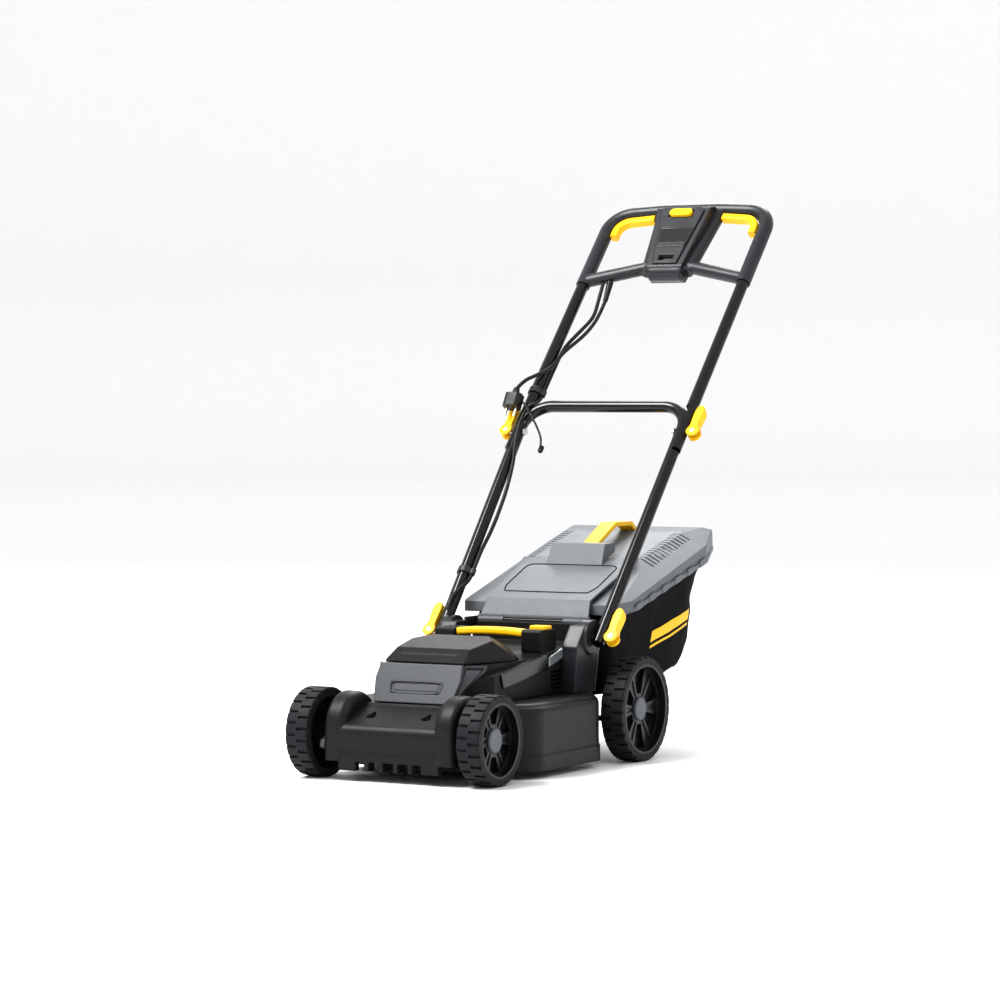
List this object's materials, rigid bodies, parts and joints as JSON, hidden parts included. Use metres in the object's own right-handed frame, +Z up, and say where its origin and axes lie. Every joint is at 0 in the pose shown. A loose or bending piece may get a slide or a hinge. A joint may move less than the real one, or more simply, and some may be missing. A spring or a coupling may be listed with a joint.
{
  "type": "push lawn mower",
  "caption": "Corded electric push lawn mower with a folding tubular handle, a switch loop, a rear grass box under a hinged flap and two-height crank axles.",
  "frame": {"origin": "bottom centre of the whole mower on the ground", "axes": "+Z up, -Y towards the front bumper, +Y towards the operator, +X to the operator's left"},
  "size_m": [0.41, 1.154, 1.002],
  "materials": {
    "tyre": "matt black moulded rubber-like plastic",
    "rim": "moulded black",
    "hub_cap": "satin grey",
    "steel": "bright zinc",
    "axle": "dull zinc",
    "deck": "textured black moulding",
    "housing": "satin dark grey moulding",
    "panel": "satin mid grey",
    "trim": "gloss dark grey",
    "lid": "satin light grey moulding",
    "yellow": "satin yellow",
    "tube": "gloss black powder coat",
    "grip": "fine textured black",
    "cable": "matt black sheath",
    "bag": "woven polyester",
    "iron": "laminated motor core",
    "blade": "ground steel",
    "brass": "plated pins"
  },
  "bodies": {
    "deck": {"deck_shell": "deck", "motor_housing": "housing", "motor_cap": "housing", "front_panel": "panel", "side_trims": "trim", "handle_brackets": "panel", "carry_handle": "yellow", "motor_stator": "iron", "motor_bearings": "steel", "motor_screws": "steel", "flap_hinge_pin": "steel"},
    "height_button": {"height_button": "yellow"},
    "front_crank": {"front_axle": "axle", "front_axle_nuts": "steel"},
    "rear_crank": {"rear_axle": "axle", "rear_axle_nuts": "steel"},
    "blade_rotor": {"motor_rotor": "steel", "blade_holder": "grip", "blade": "blade", "blade_bolt": "steel"},
    "lower_handle": {"lower_handle": "tube", "lower_bolts": "steel", "cable_clip_lower": "grip", "motor_cable_middle": "cable", "motor_cable_lower": "cable"},
    "lower_left_lever": {"lower_left_lever": "yellow"},
    "lower_right_lever": {"lower_right_lever": "yellow"},
    "upper_handle": {"upper_tubes": "tube", "upper_bolts": "steel", "loop_front": "grip", "loop_rear": "grip", "switch_panel": "grip", "switch_box": "grip", "strain_relief": "cable", "power_cord": "cable", "plug_body": "cable", "plug_pins": "brass", "cable_clip_upper": "grip", "motor_cable_upper": "cable"},
    "upper_left_lever": {"upper_left_lever": "yellow"},
    "upper_right_lever": {"upper_right_lever": "yellow"},
    "lock_button": {"lock_button": "yellow"},
    "bail_left": {"bail_left": "yellow"},
    "bail_right": {"bail_right": "yellow"},
    "rear_flap": {"rear_flap": "lid"},
    "grass_box": {"box_lid": "lid", "grass_bag": "bag", "box_handle": "yellow"},
    "front_left_wheel": {"front_left_tyre": "tyre", "front_left_rim": "rim", "front_left_hub_cap": "hub_cap"},
    "front_right_wheel": {"front_right_tyre": "tyre", "front_right_rim": "rim", "front_right_hub_cap": "hub_cap"},
    "rear_left_wheel": {"rear_left_tyre": "tyre", "rear_left_rim": "rim", "rear_left_hub_cap": "hub_cap"},
    "rear_right_wheel": {"rear_right_tyre": "tyre", "rear_right_rim": "rim", "rear_right_hub_cap": "hub_cap"}
  },
  "joints": [
    {"name": "front_height", "type": "hinge", "parent": "deck", "child": "front_crank", "pos_m": [0, -0.53639, 0.0589], "axis": [-1, 0, 0], "range_deg": [0, 60]},
    {"name": "rear_height", "type": "hinge", "parent": "deck", "child": "rear_crank", "pos_m": [0, -0.06239, 0.0749], "axis": [-1, 0, 0], "range_deg": [0, 60]},
    {"name": "front_left_wheel_spin", "type": "hinge", "parent": "front_crank", "child": "front_left_wheel", "pos_m": [0, -0.50199, 0.075], "axis": [1, 0, 0], "continuous": true},
    {"name": "front_right_wheel_spin", "type": "hinge", "parent": "front_crank", "child": "front_right_wheel", "pos_m": [0, -0.50199, 0.075], "axis": [1, 0, 0], "continuous": true},
    {"name": "rear_left_wheel_spin", "type": "hinge", "parent": "rear_crank", "child": "rear_left_wheel", "pos_m": [0, -0.02799, 0.091], "axis": [1, 0, 0], "continuous": true},
    {"name": "rear_right_wheel_spin", "type": "hinge", "parent": "rear_crank", "child": "rear_right_wheel", "pos_m": [0, -0.02799, 0.091], "axis": [1, 0, 0], "continuous": true},
    {"name": "blade_spin", "type": "hinge", "parent": "deck", "child": "blade_rotor", "pos_m": [0, -0.29399, 0.06], "axis": [0, 0, 1], "continuous": true},
    {"name": "height_button_press", "type": "slide", "parent": "deck", "child": "height_button", "axis": [0, 0, -1], "range_m": [0, 0.005], "stiffness_N_per_m": 400},
    {"name": "lower_handle_fold", "type": "hinge", "parent": "deck", "child": "lower_handle", "pos_m": [0, -0.11159, 0.2184], "axis": [1, 0, 0], "range_deg": [0, 115], "deforming": ["motor_cable_lower"]},
    {"name": "upper_handle_fold", "type": "hinge", "parent": "lower_handle", "child": "upper_handle", "pos_m": [0, 0.18141, 0.5692], "axis": [1, 0, 0], "range_deg": [-78, 0], "deforming": ["motor_cable_middle"]},
    {"name": "lower_left_lever_open", "type": "hinge", "parent": "lower_handle", "child": "lower_left_lever", "pos_m": [0.1819, -0.11159, 0.2184], "axis": [0, 0.7675, -0.641], "range_deg": [0, 95]},
    {"name": "lower_right_lever_open", "type": "hinge", "parent": "lower_handle", "child": "lower_right_lever", "pos_m": [-0.1819, -0.11159, 0.2184], "axis": [0, -0.7675, 0.641], "range_deg": [0, 95]},
    {"name": "upper_left_lever_open", "type": "hinge", "parent": "upper_handle", "child": "upper_left_lever", "pos_m": [0.1919, 0.18141, 0.5692], "axis": [0, 0.7392, -0.6735], "range_deg": [0, 95]},
    {"name": "upper_right_lever_open", "type": "hinge", "parent": "upper_handle", "child": "upper_right_lever", "pos_m": [-0.1919, 0.18141, 0.5692], "axis": [0, -0.7392, 0.6735], "range_deg": [0, 95]},
    {"name": "lock_button_press", "type": "slide", "parent": "upper_handle", "child": "lock_button", "axis": [0, 0.7392, -0.6735], "range_m": [0, 0.005], "stiffness_N_per_m": 400},
    {"name": "bail_left_squeeze", "type": "hinge", "parent": "upper_handle", "child": "bail_left", "pos_m": [0, 0.56349, 0.98854], "axis": [1, 0, 0], "range_deg": [0, 12], "stiffness_Nm_per_rad": 1.2},
    {"name": "bail_right_squeeze", "type": "hinge", "parent": "upper_handle", "child": "bail_right", "pos_m": [0, 0.56349, 0.98854], "axis": [1, 0, 0], "range_deg": [0, 12], "stiffness_Nm_per_rad": 1.2},
    {"name": "rear_flap_lift", "type": "hinge", "parent": "deck", "child": "rear_flap", "pos_m": [0, -0.06099, 0.241], "axis": [1, 0, 0], "range_deg": [0, 60], "stiffness_Nm_per_rad": 0.05, "springref_deg": -28.65},
    {"name": "grass_box_lift_off", "type": "slide", "parent": "deck", "child": "grass_box", "axis": [0, 0.9659, 0.2588], "range_m": [0, 0.3]}
  ],
  "couplings": [
    {"joint": "rear_height", "follows": "front_height", "ratio": 1},
    {"joint": "bail_right_squeeze", "follows": "bail_left_squeeze", "ratio": 1}
  ]
}
